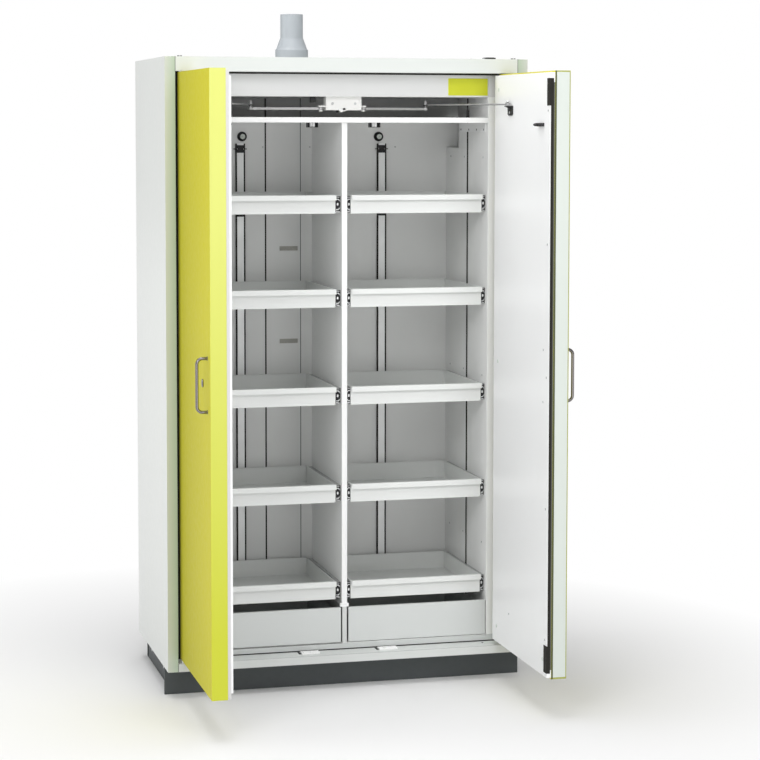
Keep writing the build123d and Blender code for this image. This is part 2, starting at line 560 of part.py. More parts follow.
with BuildPart() as closer_rod_right:
    # eye on the bracket stud
    with BuildSketch(Plane.XY.offset(1899.8)):
        with Locations((BR_X, BR_Y)):
            Circle(8)
            Circle(PIN_R + RUN, mode=Mode.SUBTRACT)
    extrude(amount=9.2)
    # straight round rod
    with BuildSketch(Plane(origin=(BR_X + 6.5 * math.cos(math.radians(ROD_A)),
                                   BR_Y + 6.5 * math.sin(math.radians(ROD_A)), 1903.6),
                           z_dir=(math.cos(math.radians(ROD_A)), math.sin(math.radians(ROD_A)), 0))):
        Circle(2.6)
    extrude(amount=ROD_L - 6.5)
    # knuckle and turned-down end above the arm tip
    with Locations((TIP_X, TIP_Y, 1899)):
        Cylinder(6.5, 12, align=(Align.CENTER, Align.CENTER, Align.MIN))
    with Locations((TIP_X, TIP_Y, 1895.2)):
        Cylinder(4.5, 18.8, align=(Align.CENTER, Align.CENTER, Align.MIN))
closer_rod_right.part.label = "closer_rod_right"

with BuildPart() as closer_rod_left:
    mirror(closer_rod_right.part, about=Plane.YZ)
closer_rod_left.part.label = "closer_rod_left"

fixed = [
    side_cover_left.part, side_cover_right.part, top_cover.part, rear_cover.part,
    base_cover.part, insulation_boards.part, liner_panels.part, front_frame.part,
    top_board.part, partition.part, plinth_front.part, plinth_frame.part,
    levelling_feet.part, SPIGOT, air_ducts.part, duct_fittings.part,
    closer_housing.part, hinge_pins.part, door_catches.part, slide_rails.part,
]
doors = [
    door_skin_left.part, door_core_left.part, door_pan_left.part, door_handle_left.part,
    door_fittings_left.part, lock_body.part, lock_barrel.part,
    door_skin_right.part, door_core_right.part, door_pan_right.part, door_seal_right.part,
    door_handle_right.part, door_fittings_right.part, door_edge_plate.part,
    closer_arm_left.part, closer_arm_right.part, closer_rod_left.part, closer_rod_right.part,
]
for piece in fixed + doors:
    export_step(piece, "parts/" + piece.label + ".step")

# ---------------------------------------------------------------------------
# pan shelves with their moving slide members
# ---------------------------------------------------------------------------
for level, z0 in enumerate(TRAY_Z, start=1):
    for side, s in (("left", -1), ("right", 1)):
        xa, xb = s * TRAY_X0, s * (TRAY_X0 + TRAY_W)
        x0, x1 = min(xa, xb), max(xa, xb)
        with BuildPart() as tray:
            # pan
            block(x0, x1, TRAY_Y0, TRAY_Y1, z0, z0 + TRAY_H)
            block(x0 + TT, x1 - TT, TRAY_Y0 + TT, TRAY_Y1 - TT, z0 + TT, z0 + TRAY_H + 1, mode=Mode.SUBTRACT)
            # hemmed rim along the sides and back
            block(x0, x0 + 4, TRAY_Y0, TRAY_Y1, z0 + TRAY_H - 3, z0 + TRAY_H)
            block(x1 - 4, x1, TRAY_Y0, TRAY_Y1, z0 + TRAY_H - 3, z0 + TRAY_H)
            block(x0, x1, TRAY_Y1 - 4, TRAY_Y1, z0 + TRAY_H - 3, z0 + TRAY_H)
            # folded grip lip along the front
            with BuildSketch(Plane.YZ.offset(x0 + 2)):
                with BuildLine():
                    Polyline(
                        (TRAY_Y0 + TT, z0 + TRAY_H), (TRAY_Y0 - LIP_D, z0 + TRAY_H),
                        (TRAY_Y0 - LIP_D, z0 + TRAY_H - LIP_H), (TRAY_Y0 - LIP_D + 5, z0 + TRAY_H - LIP_H),
                        (TRAY_Y0 - LIP_D + 5, z0 + TRAY_H - LIP_H + TT), (TRAY_Y0 - LIP_D + TT, z0 + TRAY_H - LIP_H + TT),
                        (TRAY_Y0 - LIP_D + TT, z0 + TRAY_H - TT), (TRAY_Y0 + TT, z0 + TRAY_H - TT),
                        close=True,
                    )
                make_face()
            extrude(amount=TRAY_W - 1.5)
        tray.part.label = f"tray_{side}_{level}"
        export_step(tray.part, f"parts/{tray.part.label}.step")

        zc = z0 + 30
        with BuildPart() as runner:
            for edge, out in ((x0, -1), (x1, 1)):
                with BuildSketch(Plane.XZ.offset(-RAIL_Y1)):
                    with BuildLine():
                        Polyline(
                            (edge, zc - RUNNER_H / 2), (edge + out * 11, zc - RUNNER_H / 2),
                            (edge + out * 11, zc - RUNNER_H / 2 + T), (edge + out * T, zc - RUNNER_H / 2 + T),
                            (edge + out * T, zc + RUNNER_H / 2 - T), (edge + out * 11, zc + RUNNER_H / 2 - T),
                            (edge + out * 11, zc + RUNNER_H / 2), (edge, zc + RUNNER_H / 2), close=True,
                        )
                    make_face()
                    # ball rows above and below, under the fixed rail's flanges
                    with Locations((edge + out * 9, zc + RUNNER_H / 2 + 2.8), (edge + out * 9, zc - RUNNER_H / 2 - 2.8)):
                        Rectangle(4, 5.6)
                extrude(amount=RAIL_Y1 - RAIL_Y0)
        runner.part.label = f"runner_{side}_{level}"
        export_step(runner.part, f"parts/{runner.part.label}.step")

# ---------------------------------------------------------------------------
# deep sump drawers at the bottom
# ---------------------------------------------------------------------------
for side, s in (("left", -1), ("right", 1)):
    fa, fb = sorted((s * 12.7, s * 483.5))
    ba, bb = sorted((s * 22.0, s * 475.0))
    with BuildPart() as sump:
        block(fa, fb, YF + 69, YF + 69 + T, 139, 253.5)
        block(fa, fb, YF + 69, YF + 81, 252, 253.5)
        block(ba, bb, YF + 69, YF + 520, 139, 236)
        block(ba + T, bb - T, YF + 69 + T, YF + 520 - T, 139 + T, 237, mode=Mode.SUBTRACT)
        # glide strips along both sides of the underside
        block(ba + 12, ba + 32, YF + 80, YF + 512, Z_FLOOR + 0.3, 139)
        block(bb - 32, bb - 12, YF + 80, YF + 512, Z_FLOOR + 0.3, 139)
    sump.part.label = f"sump_{side}"
    export_step(sump.part, f"parts/{sump.part.label}.step")
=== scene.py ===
"""Two-door fire-resistant storage cabinet with its doors open: materials, trim and studio."""
import json
import math

import bmesh
import bpy
from mathutils import Matrix, Vector


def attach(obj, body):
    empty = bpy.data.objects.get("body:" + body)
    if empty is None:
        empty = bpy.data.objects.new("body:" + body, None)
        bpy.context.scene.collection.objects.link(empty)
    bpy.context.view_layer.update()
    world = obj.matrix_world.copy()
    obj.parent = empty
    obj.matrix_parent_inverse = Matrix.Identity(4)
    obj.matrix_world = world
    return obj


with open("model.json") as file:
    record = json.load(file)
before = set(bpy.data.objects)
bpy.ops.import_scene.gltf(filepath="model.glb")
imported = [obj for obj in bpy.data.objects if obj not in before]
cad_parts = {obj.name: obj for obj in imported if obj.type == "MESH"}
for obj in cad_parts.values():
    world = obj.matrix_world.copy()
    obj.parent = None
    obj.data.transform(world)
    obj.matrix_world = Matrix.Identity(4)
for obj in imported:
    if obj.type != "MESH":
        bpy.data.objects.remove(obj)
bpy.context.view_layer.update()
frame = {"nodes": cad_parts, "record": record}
NODES = frame["nodes"]
YF = -0.311           # front plane of the casing
YB = YF + 0.558       # inner rear wall
XI = 0.486            # inner side walls
REBATE = 0.067        # front plane of the door frame
TRAY_Z = [1.5495, 1.243, 0.922, 0.600, 0.278]

scene = bpy.context.scene
scene.view_settings.view_transform = "Standard"
scene.view_settings.look = "None"
scene.view_settings.exposure = 0.0
scene.view_settings.gamma = 1.0

# ---------------------------------------------------------------------------
# camera: perspective of the reference view
# ---------------------------------------------------------------------------
cam_data = bpy.data.cameras.new("camera")
cam = bpy.data.objects.new("camera", cam_data)
scene.collection.objects.link(cam)
cam_data.sensor_fit = "HORIZONTAL"
cam_data.sensor_width = 36.0
cam_data.lens = 106.872
cam_data.shift_x = -0.005617
cam_data.shift_y = -0.110429
cam_data.clip_start = 0.1
cam_data.clip_end = 200.0
cam.matrix_world = (
    Matrix.Translation((-1.739985, -7.361813, 1.835353))
    @ Matrix.Rotation(math.radians(-14.74), 4, "Z")
    @ Matrix.Rotation(math.radians(90 - 4.32), 4, "X")
    @ Matrix.Rotation(math.radians(0.08), 4, "Z")
)
scene.camera = cam

# ---------------------------------------------------------------------------
# materials
# ---------------------------------------------------------------------------


def new_mat(name):
    m = bpy.data.materials.new(name)
    m.use_nodes = True
    nt = m.node_tree
    for n in list(nt.nodes):
        nt.nodes.remove(n)
    out = nt.nodes.new("ShaderNodeOutputMaterial")
    bsdf = nt.nodes.new("ShaderNodeBsdfPrincipled")
    nt.links.new(bsdf.outputs[0], out.inputs[0])
    return m, nt, bsdf


def noise(nt, coord, scale, detail=2.0, rough=0.5):
    n = nt.nodes.new("ShaderNodeTexNoise")
    n.inputs["Scale"].default_value = scale
    n.inputs["Detail"].default_value = detail
    n.inputs["Roughness"].default_value = rough
    nt.links.new(coord, n.inputs["Vector"])
    return n.outputs[0]


def mapped(nt, value, lo, hi, flo=0.3, fhi=0.7):
    n = nt.nodes.new("ShaderNodeMapRange")
    n.inputs["From Min"].default_value = flo
    n.inputs["From Max"].default_value = fhi
    n.inputs["To Min"].default_value = lo
    n.inputs["To Max"].default_value = hi
    nt.links.new(value, n.inputs["Value"])
    return n.outputs[0]


def mixed(nt, fac, a, b):
    n = nt.nodes.new("ShaderNodeMix")
    n.data_type = "RGBA"
    nt.links.new(fac, n.inputs[0])
    for sock, v in ((n.inputs[6], a), (n.inputs[7], b)):
        if isinstance(v, (tuple, list)):
            sock.default_value = (*v, 1.0)
        else:
            nt.links.new(v, sock)
    return n.outputs[2]


def surface(name, color, rough, metallic=0.0, var=0.03, var_scale=3.0, rough_var=0.06,
            grain=500.0, bump=0.05, dist=0.0002, coat=0.0, coat_rough=0.1, spec=0.5,
            stretch=None, speck=None):
    """Paint, plastic or metal: broad tone drift, fine grain in roughness and relief."""
    m, nt, b = new_mat(name)
    tc = nt.nodes.new("ShaderNodeTexCoord")
    coord = tc.outputs["Object"]
    if stretch:
        mp = nt.nodes.new("ShaderNodeMapping")
        mp.inputs["Scale"].default_value = stretch
        nt.links.new(coord, mp.inputs["Vector"])
        fine = mp.outputs[0]
    else:
        fine = coord
    broad = noise(nt, coord, var_scale, 3.0)
    lo = tuple(c * (1 - var) for c in color)
    hi = tuple(min(1.0, c * (1 + var)) for c in color)
    col = mixed(nt, mapped(nt, broad, 0, 1), lo, hi)
    if speck:
        sp = noise(nt, coord, speck[1], 4.0)
        col = mixed(nt, mapped(nt, sp, 0, 1, 0.58, 0.72), col, speck[0])
    nt.links.new(col, b.inputs["Base Color"])
    mid = noise(nt, fine, grain * 0.12, 3.0)
    nt.links.new(mapped(nt, mid, max(0.02, rough - rough_var), rough + rough_var), b.inputs["Roughness"])
    fn = noise(nt, fine, grain, 3.0, 0.6)
    bp = nt.nodes.new("ShaderNodeBump")
    bp.inputs["Strength"].default_value = bump
    bp.inputs["Distance"].default_value = dist
    nt.links.new(fn, bp.inputs["Height"])
    nt.links.new(bp.outputs[0], b.inputs["Normal"])
    b.inputs["Metallic"].default_value = metallic
    b.inputs["Specular IOR Level"].default_value = spec
    b.inputs["Coat Weight"].default_value = coat
    b.inputs["Coat Roughness"].default_value = coat_rough
    return m


def parts_of(m):
    """Shader, base colour link, position and normal of a finished surface."""
    nt = m.node_tree
    b = next(n for n in nt.nodes if n.type == "BSDF_PRINCIPLED")
    tc = next(n for n in nt.nodes if n.type == "TEX_COORD")
    pos = nt.nodes.new("ShaderNodeSeparateXYZ")
    nt.links.new(tc.outputs["Object"], pos.inputs[0])
    nrm = nt.nodes.new("ShaderNodeSeparateXYZ")
    nt.links.new(tc.outputs["Normal"], nrm.inputs[0])
    return nt, b, b.inputs["Base Color"].links[0].from_socket, pos, nrm


def painted_light_yellow(name, hinge_shade_tone, free_tone, edge_top, edge_low, right_edge_shade, rebate):
    """Yellow powder coat with painted light: paler painted highlight on the narrow edges that face forward when the
    door stands open, painted shade towards the hinge.
    """
    m = surface(name, free_tone, 0.50, var=0.025, var_scale=1.5, rough_var=0.05, grain=420, bump=0.10, coat=0.0, spec=0.12)
    nt, b, tone, pos, nrm = parts_of(m)
    # painted shade: the yellow darkens towards the hinge, and darker still in the last few centimetres beside it
    tone = mixed(nt, mapped(nt, pos.outputs[1], 0, 1, YF - 0.50, YF), tone, hinge_shade_tone)
    tone = mixed(nt, mapped(nt, pos.outputs[1], 0, 1, YF - 0.045, YF + 0.016), tone, tuple(0.55 * c for c in hinge_shade_tone))
    # painted highlight: faces looking forward are paler, brightest towards the top
    pale = mixed(nt, mapped(nt, pos.outputs[2], 0, 1, 0.3, 1.6), edge_low, edge_top)
    # painted shade: the right door's forward edge is darker, and the lip between its seal strip and edge plate is dark
    # olive, as shade in that recess
    right = mixed(nt, mapped(nt, pos.outputs[0], 1, 0, 0.5117, 0.5123), right_edge_shade, rebate)
    pale = mixed(nt, mapped(nt, pos.outputs[0], 0, 1, 0.40, 0.45), pale, right)
    nt.links.new(mixed(nt, mapped(nt, nrm.outputs[1], 1, 0, -0.9, -0.3), tone, pale), b.inputs["Base Color"])
    return m


def front_painted_shade(name, color, front, inner=0.0, outer_tone=None, z_range=(-1.0, 3.0), **kw):
    """Paint whose forward faces, outside the given distance from the middle, carry painted shade in a second tone,
    blending to outer_tone towards the outer edge.
    """
    m = surface(name, color, **kw)
    nt, b, tone, pos, nrm = parts_of(m)
    away = nt.nodes.new("ShaderNodeMath")
    away.operation = "ABSOLUTE"
    nt.links.new(pos.outputs[0], away.inputs[0])
    if outer_tone:
        front = mixed(nt, mapped(nt, away.outputs[0], 0, 1, 0.568, 0.596), front, outer_tone)
    mask = mixed(nt, mapped(nt, away.outputs[0], 0, 1, inner, inner + 0.0004), tone, front)
    mask = mixed(nt, mapped(nt, pos.outputs[2], 0, 1, z_range[0], z_range[0] + 0.001), tone, mask)
    mask = mixed(nt, mapped(nt, pos.outputs[2], 0, 1, z_range[1], z_range[1] + 0.001), mask, tone)
    nt.links.new(mixed(nt, mapped(nt, nrm.outputs[1], 1, 0, -0.9, -0.5), tone, mask), b.inputs["Base Color"])
    return m


def height_painted_shade(name, color, low, z_low, high, z_high, **kw):
    """Paint in three bands by height; the low and high bands hold painted shade."""
    m = surface(name, color, **kw)
    nt, b, tone, pos, nrm = parts_of(m)
    tone = mixed(nt, mapped(nt, pos.outputs[2], 1, 0, z_low, z_low + 0.001), tone, low)
    nt.links.new(mixed(nt, mapped(nt, pos.outputs[2], 0, 1, z_high - 0.001, z_high), tone, high), b.inputs["Base Color"])
    return m


M = {}
M["casing_white"] = surface("casing_white", (0.745, 0.765, 0.745), 0.38, var=0.015, var_scale=1.2, grain=520, bump=0.10)
# painted shade: the forward faces of the side covers' front strips are greyer and greener, for the shade and yellow
# bounce light beside the open doors, lighter towards their outer edge
M["strip_white"] = front_painted_shade("strip_white", (0.735, 0.755, 0.735), (0.46, 0.555, 0.44), 0.560, (0.60, 0.635, 0.575), rough=0.38, var=0.015, var_scale=1.2, grain=520, bump=0.10)
# painted shade: roof_white and sill_white are darker copies of the casing white, for the shade on the top cover's
# fascia and on the threshold; the roof white also carries a green cast of light bounced from the yellow doors
M["roof_white"] = surface("roof_white", (0.695, 0.725, 0.70), 0.38, var=0.015, var_scale=1.2, grain=520, bump=0.10)
M["sill_white"] = surface("sill_white", (0.665, 0.685, 0.67), 0.38, var=0.02, var_scale=3.0, grain=520, bump=0.10)
M["interior_white"] = surface("interior_white", (0.865, 0.87, 0.86), 0.42, var=0.03, grain=420, bump=0.08)
# painted shade: the door frame is darker on its bottom rail and header, the partition darker below its lower shoulder
M["frame_white"] = height_painted_shade("frame_white", (0.87, 0.88, 0.865), (0.60, 0.62, 0.61), 0.1372, (0.71, 0.715, 0.71), 1.93, rough=0.42, var=0.03, grain=420, bump=0.08)
M["partition_white"] = height_painted_shade("partition_white", (0.91, 0.915, 0.91), (0.66, 0.67, 0.66), 0.2555, (0.91, 0.915, 0.91), 1.84, rough=0.38, var=0.015, grain=520, bump=0.08)
M["board_white"] = surface("board_white", (0.91, 0.915, 0.91), 0.38, var=0.015, grain=520, bump=0.08)
M["fire_board"] = surface("fire_board", (0.50, 0.49, 0.45), 0.92, var=0.08, var_scale=18, grain=900, bump=0.6,
                          dist=0.0006, speck=((0.72, 0.70, 0.64), 160))
M["plinth_anthracite"] = surface("plinth_anthracite", (0.060, 0.068, 0.070), 0.55, var=0.06, grain=600, bump=0.14)
M["zinc_steel"] = surface("zinc_steel", (0.60, 0.61, 0.61), 0.34, metallic=1.0, var=0.08, var_scale=40, rough_var=0.1, grain=900, bump=0.05)
M["spigot_grey"] = surface("spigot_grey", (0.35, 0.375, 0.40), 0.42, var=0.03, var_scale=8, grain=700, bump=0.06)
M["duct_grey"] = surface("duct_grey", (0.96, 0.965, 0.96), 0.50, metallic=0.30, var=0.012, grain=220, bump=0.01)
M["black_plastic"] = surface("black_plastic", (0.013, 0.013, 0.014), 0.46, var=0.12, var_scale=30, grain=800, bump=0.12, spec=0.3)
M["closer_white"] = surface("closer_white", (0.82, 0.82, 0.80), 0.36, var=0.015, grain=520, bump=0.08)
M["slide_steel"] = surface("slide_steel", (0.55, 0.56, 0.56), 0.32, metallic=1.0, var=0.08, var_scale=50, rough_var=0.1, grain=700, bump=0.05, stretch=(1, 0.05, 1))
# painted light: the doors' yellow carries painted shade towards the hinge and on the right door's edge, and painted
# highlight on the edges facing forward
M["door_yellow"] = painted_light_yellow("door_yellow", (0.46, 0.425, 0.018), (0.60, 0.56, 0.026), (0.72, 0.755, 0.20),
                                  (0.62, 0.655, 0.055), (0.42, 0.44, 0.12), (0.10, 0.112, 0.055))
M["door_inner_white"] = surface("door_inner_white", (0.955, 0.96, 0.96), 0.36, var=0.012, var_scale=1.5, grain=520, bump=0.08)
# painted shade: the forward-facing edges of the door pans, grey on the left door and dark olive on the right door,
# where its seal strip leaves a recess
M["pan_left"] = front_painted_shade("pan_left", (0.955, 0.96, 0.96), (0.66, 0.645, 0.65), 0.4972, rough=0.36, var=0.012, var_scale=1.5, grain=520, bump=0.08)
M["pan_right"] = front_painted_shade("pan_right", (0.955, 0.96, 0.96), (0.125, 0.13, 0.10), 0.5022, None, (0.158, 1.967), rough=0.36, var=0.012, var_scale=1.5, grain=520, bump=0.08)
M["seal_black"] = surface("seal_black", (0.018, 0.0165, 0.0135), 0.66, var=0.15, var_scale=25, grain=900, bump=0.18, spec=0.28)
M["edge_white"] = surface("edge_white", (0.70, 0.75, 0.70), 0.40, var=0.02, var_scale=4, grain=600, bump=0.06)
M["chrome"] = surface("chrome", (0.82, 0.83, 0.84), 0.10, metallic=1.0, var=0.03, var_scale=30, rough_var=0.04, grain=300, bump=0.015)
M["handle_steel"] = surface("handle_steel", (0.215, 0.20, 0.195), 0.22, metallic=1.0, var=0.05, var_scale=30, rough_var=0.05, grain=600, bump=0.03, stretch=(1, 1, 0.05))
M["rod_zinc"] = surface("rod_zinc", (0.40, 0.40, 0.40), 0.42, metallic=0.8, var=0.04, var_scale=30, rough_var=0.05, grain=600, bump=0.03)
# own white of the catch rollers, and painted highlight where it stands for the steel striker plates
M["striker_white"] = surface("striker_white", (0.97, 0.97, 0.965), 0.30, var=0.01, grain=500, bump=0.04)
M["seam_grey"] = surface("seam_grey", (0.16, 0.17, 0.165), 0.7, var=0.10, var_scale=20, grain=700, bump=0.10)
M["line_grey"] = surface("line_grey", (0.44, 0.46, 0.455), 0.6, var=0.06, var_scale=20, grain=700, bump=0.08)
M["tray_white"] = surface("tray_white", (0.785, 0.80, 0.785), 0.36, var=0.015, var_scale=4, grain=520, bump=0.09)
M["sump_white"] = surface("sump_white", (0.64, 0.66, 0.65), 0.38, var=0.015, var_scale=4, grain=520, bump=0.09)
M["label_yellow"] = surface("label_yellow", (0.62, 0.65, 0.028), 0.34, var=0.03, var_scale=12, grain=300, bump=0.02, spec=0.3)
M["fitting_black"] = surface("fitting_black", (0.022, 0.022, 0.022), 0.40, metallic=0.0, var=0.12, var_scale=30, rough_var=0.08, grain=800, bump=0.06)
M["slide_light"] = surface("slide_light", (0.72, 0.73, 0.73), 0.30, metallic=0.35, var=0.05, var_scale=60, rough_var=0.08, grain=700, bump=0.04)
# painted shade: near-black for holes and slots that show only shade
M["dark_hole"] = surface("dark_hole", (0.01, 0.01, 0.01), 0.8, var=0.1, grain=200, bump=0.05)

SLOT = {s["node"]: s["material_slot"] for s in frame["record"]["subparts"]}


def dress(node, material, bevel=0.0005, segments=2):
    """Gives a carried-over node its finish and softened edges."""
    o = NODES[node]
    o.data.materials.clear()
    o.data.materials.append(material)
    w = o.modifiers.new("weld", "WELD")
    w.merge_threshold = 0.00002
    if bevel:
        b = o.modifiers.new("bevel", "BEVEL")
        b.width = bevel
        b.segments = segments
        b.limit_method = "ANGLE"
        b.angle_limit = math.radians(38)
        b.use_clamp_overlap = True
        b.harden_normals = False
    n = o.modifiers.new("normals", "WEIGHTED_NORMAL")
    n.keep_sharp = True
    return o


FINISH = {
    "top_board": "board_white", "partition": "partition_white", "side_cover_left": "strip_white",
    "side_cover_right": "strip_white", "top_cover": "roof_white", "base_cover": "sill_white",
    "front_frame": "frame_white", "door_pan_left": "pan_left", "door_pan_right": "pan_right",
    "door_handle_left": "handle_steel", "door_handle_right": "handle_steel", "lock_body": "handle_steel",
    "lock_barrel": "handle_steel", "closer_arm_left": "rod_zinc", "closer_arm_right": "rod_zinc",
    "closer_rod_left": "rod_zinc", "closer_rod_right": "rod_zinc",
}
for node in NODES:
    dress(node, M[FINISH.get(node, SLOT[node])])

# ---------------------------------------------------------------------------
# trim pieces
# ---------------------------------------------------------------------------
AXES = {
    "front": ((1, 0, 0), (0, 0, 1), (0, -1, 0)),
    "back": ((-1, 0, 0), (0, 0, 1), (0, 1, 0)),
    "left": ((0, -1, 0), (0, 0, 1), (-1, 0, 0)),
    "right": ((0, 1, 0), (0, 0, 1), (1, 0, 0)),
    "up": ((1, 0, 0), (0, 1, 0), (0, 0, 1)),
    "down": ((1, 0, 0), (0, -1, 0), (0, 0, -1)),
}


def at(x, y, z, facing):
    """Local frame at a point: its Z looks out of the face that carries the piece."""
    ax, ay, az = AXES[facing]
    return Matrix(((ax[0], ay[0], az[0], x), (ax[1], ay[1], az[1], y), (ax[2], ay[2], az[2], z), (0, 0, 0, 1)))


def lathe(bm, profile, mat, n=20, squeeze=(1.0, 1.0)):
    """Turned shape from (radius, height) points, closed at both ends."""
    rings = []
    for r, h in profile:
        if r <= 0:
            rings.append([bm.verts.new(mat @ Vector((0, 0, h)))])
        else:
            rings.append([bm.verts.new(mat @ Vector((r * squeeze[0] * math.cos(2 * math.pi * i / n),
                                                     r * squeeze[1] * math.sin(2 * math.pi * i / n), h)))
                          for i in range(n)])
    for a, b in zip(rings, rings[1:]):
        for i in range(n):
            j = (i + 1) % n
            if len(a) == 1:
                bm.faces.new((a[0], b[i], b[j]))
            elif len(b) == 1:
                bm.faces.new((a[i], b[0], a[j]))
            else:
                bm.faces.new((a[i], b[i], b[j], a[j]))
    if len(rings[0]) > 1:
        bm.faces.new(rings[0])
    if len(rings[-1]) > 1:
        bm.faces.new(rings[-1])


def prism(bm, points, h0, h1, mat, taper=1.0):
    """Outline in the local plane, raised from h0 to h1; taper narrows its top."""
    cx = sum(p[0] for p in points) / len(points)
    cy = sum(p[1] for p in points) / len(points)
    lo = [bm.verts.new(mat @ Vector((x, y, h0))) for x, y in points]
    hi = [bm.verts.new(mat @ Vector((cx + (x - cx) * taper, cy + (y - cy) * taper, h1))) for x, y in points]
    n = len(points)
    for i in range(n):
        j = (i + 1) % n
        bm.faces.new((lo[i], lo[j], hi[j], hi[i]))
    bm.faces.new(lo)
    bm.faces.new(hi)


def rounded(w, h, r, n=5, cx=0.0, cy=0.0):
    """Rectangle outline with rounded corners."""
    pts = []
    for sx, sy, a0 in ((1, 1, 0), (-1, 1, 90), (-1, -1, 180), (1, -1, 270)):
        for k in range(n + 1):
            a = math.radians(a0 + 90.0 * k / n)
            pts.append((cx + sx * (w / 2 - r) + r * math.cos(a), cy + sy * (h / 2 - r) + r * math.sin(a)))
    return pts


def piece(name, bm, body, material, bevel=0.0, segments=2):
    bmesh.ops.recalc_face_normals(bm, faces=bm.faces)
    me = bpy.data.meshes.new(name)
    bm.to_mesh(me)
    bm.free()
    for poly in me.polygons:
        poly.use_smooth = True
    me.materials.append(M[material])
    o = bpy.data.objects.new(name, me)
    scene.collection.objects.link(o)
    if bevel:
        b = o.modifiers.new("bevel", "BEVEL")
        b.width = bevel
        b.segments = segments
        b.limit_method = "ANGLE"
        b.angle_limit = math.radians(35)
    w = o.modifiers.new("normals", "WEIGHTED_NORMAL")
    w.keep_sharp = True
    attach(o, body)
    return o


def screw(bm, x, y, z, facing, r=0.004, h=0.0016, n=16):
    """Pan head with a socket."""
    lathe(bm, [(r, 0), (r, 0.4 * h), (0.86 * r, 0.85 * h), (0.55 * r, h), (0.44 * r, h), (0.36 * r, 0.3 * h), (0, 0.25 * h)],
          at(x, y, z, facing), n)


def new():
    return bmesh.new()


# screws and plugs on the inner faces of the doors
DOOR_SCREWS = [(-0.5245, 1.8819), (-0.5245, 1.4741), (-0.4936, 1.1482), (-0.5235, 1.0654), (-0.4926, 0.9867),
               (-0.524, 0.6577), (-0.5255, 0.250), (-0.1636, 0.255)]
DOOR_PLUGS = [(-0.028, 1.9516), (-0.032, 1.0664), (-0.032, 0.1877), (-0.5035, 0.1852)]
for side, sx, facing in (("right", 1, "left"), ("left", -1, "right")):
    body = "door_" + side
    bm = new()
    for y, z in DOOR_SCREWS:
        x = 0.4905 if (side == "left" and y < -0.513) else 0.492
        screw(bm, sx * x, YF + y, z, facing, 0.0036, 0.0016)
    screw(bm, sx * 0.489, YF - 0.150, 1.878, facing, 0.0042, 0.0018)
    piece("door_screws_" + side, bm, body, "zinc_steel")
    bm = new()
    for y, z in DOOR_PLUGS:
        lathe(bm, [(0.0065, 0), (0.0065, 0.0006), (0.0055, 0.0013), (0.003, 0.0015), (0, 0.0015)],
              at(sx * 0.492, YF + y, z, facing), 24)
    piece("door_plugs_" + side, bm, body, "edge_white")
    # rosettes under the handle's feet
    bm = new()
    for z in (0.9875, 1.1475):
        lathe(bm, [(0.0066, 0), (0.0066, 0.0004), (0.0060, 0.0009), (0.0049, 0.0011), (0.0049, 0.0003)],
              at(sx * 0.556, YF - 0.493, z, "right" if sx > 0 else "left"), 28)
    piece("handle_rosettes_" + side, bm, body, "handle_steel")
    # bolt and nut at the rod's knuckle and eye
    bm = new()
    hexa = [(0.0078 * math.cos(math.radians(60 * k + 12)), 0.0078 * math.sin(math.radians(60 * k + 12))) for k in range(6)]
    prism(bm, hexa, 0.0, 0.0045, at(sx * 0.294, YF + 0.150, 1.8992, "up"))
    piece("rod_nut_" + side, bm, "closer_rod_" + side, "fitting_black", 0.0004)
    bm = new()
    lathe(bm, [(0.0052, 0), (0.0052, 0.001), (0.0036, 0.0024), (0, 0.0030)], at(sx * 0.294, YF + 0.150, 1.9138, "up"), 20)
    piece("rod_cap_" + side, bm, "closer_rod_" + side, "slide_light")
    bm = new()
    lathe(bm, [(0.0066, 0), (0.0066, 0.0012), (0.0044, 0.0030), (0, 0.0036)], at(sx * 0.479, YF - 0.163, 1.911, "up"), 20)
    piece("bracket_cap_" + side, bm, body, "zinc_steel")

# closer block: screws, round and oval knobs
bm = new()
for x in (-0.036, 0.040):
    screw(bm, x, YF + 0.090, 1.9065, "front", 0.0042, 0.0018, 20)
piece("closer_screws", bm, "cabinet", "zinc_steel")
bm = new()
lathe(bm, [(0.0045, 0), (0.0045, 0.0035), (0.0038, 0.0052), (0.0018, 0.006), (0, 0.006)],
      at(0.0024, YF + 0.0885, 1.8888, "front"), 24, (1.0, 0.72))
lathe(bm, [(0.0042, 0), (0.0042, 0.010), (0.0034, 0.0118), (0.0015, 0.0124), (0, 0.0124)],
      at(-0.0183, YF + 0.103, 1.8811, "front"), 24)
piece("closer_knobs", bm, "cabinet", "black_plastic")

# white rollers in the two catch housings
bm = new()
for sx in (-1, 1):
    for dx in (-0.0045, 0.0045):
        lathe(bm, [(0.0034, 0), (0.0042, 0.0006), (0.0042, 0.0128), (0.0034, 0.0134)],
              at(sx * 0.1035 + dx, YF + 0.0879, 1.8311, "up"), 24)
piece("catch_rollers", bm, "cabinet", "striker_white")

# light noses and centre pins of the air valves
bm, bm2 = new(), new()
for x in (-0.243, 0.2395):
    lathe(bm, [(0.0086, 0), (0.0088, 0.0010), (0.0084, 0.0022), (0.0070, 0.0030), (0.0052, 0.0024), (0.0046, 0.0008), (0, 0.0008)],
          at(x, YB - 0.014, 1.7975, "front"), 32)
    lathe(bm2, [(0.0019, 0), (0.0019, 0.0010), (0.0012, 0.0017), (0, 0.0018)],
          at(x, YB - 0.0148, 1.7975, "front"), 16)
piece("valve_noses", bm, "cabinet", "edge_white")
piece("valve_pins", bm2, "cabinet", "slide_steel")

# spring ears beside the duct clips
bm = new()
for sx in (-1, 1):
    for zc in [1.755] + [z - 0.013 for z in TRAY_Z[:4]]:
        for side in (-1, 1):
            lathe(bm, [(0.0013, 0), (0.0017, 0.0015), (0.0017, 0.0050), (0.0008, 0.0072), (0, 0.0074)],
                  at(sx * 0.250 + side * 0.0165, YB - 0.004, zc, "right" if side > 0 else "left"), 12)
piece("clip_ears", bm, "cabinet", "black_plastic")

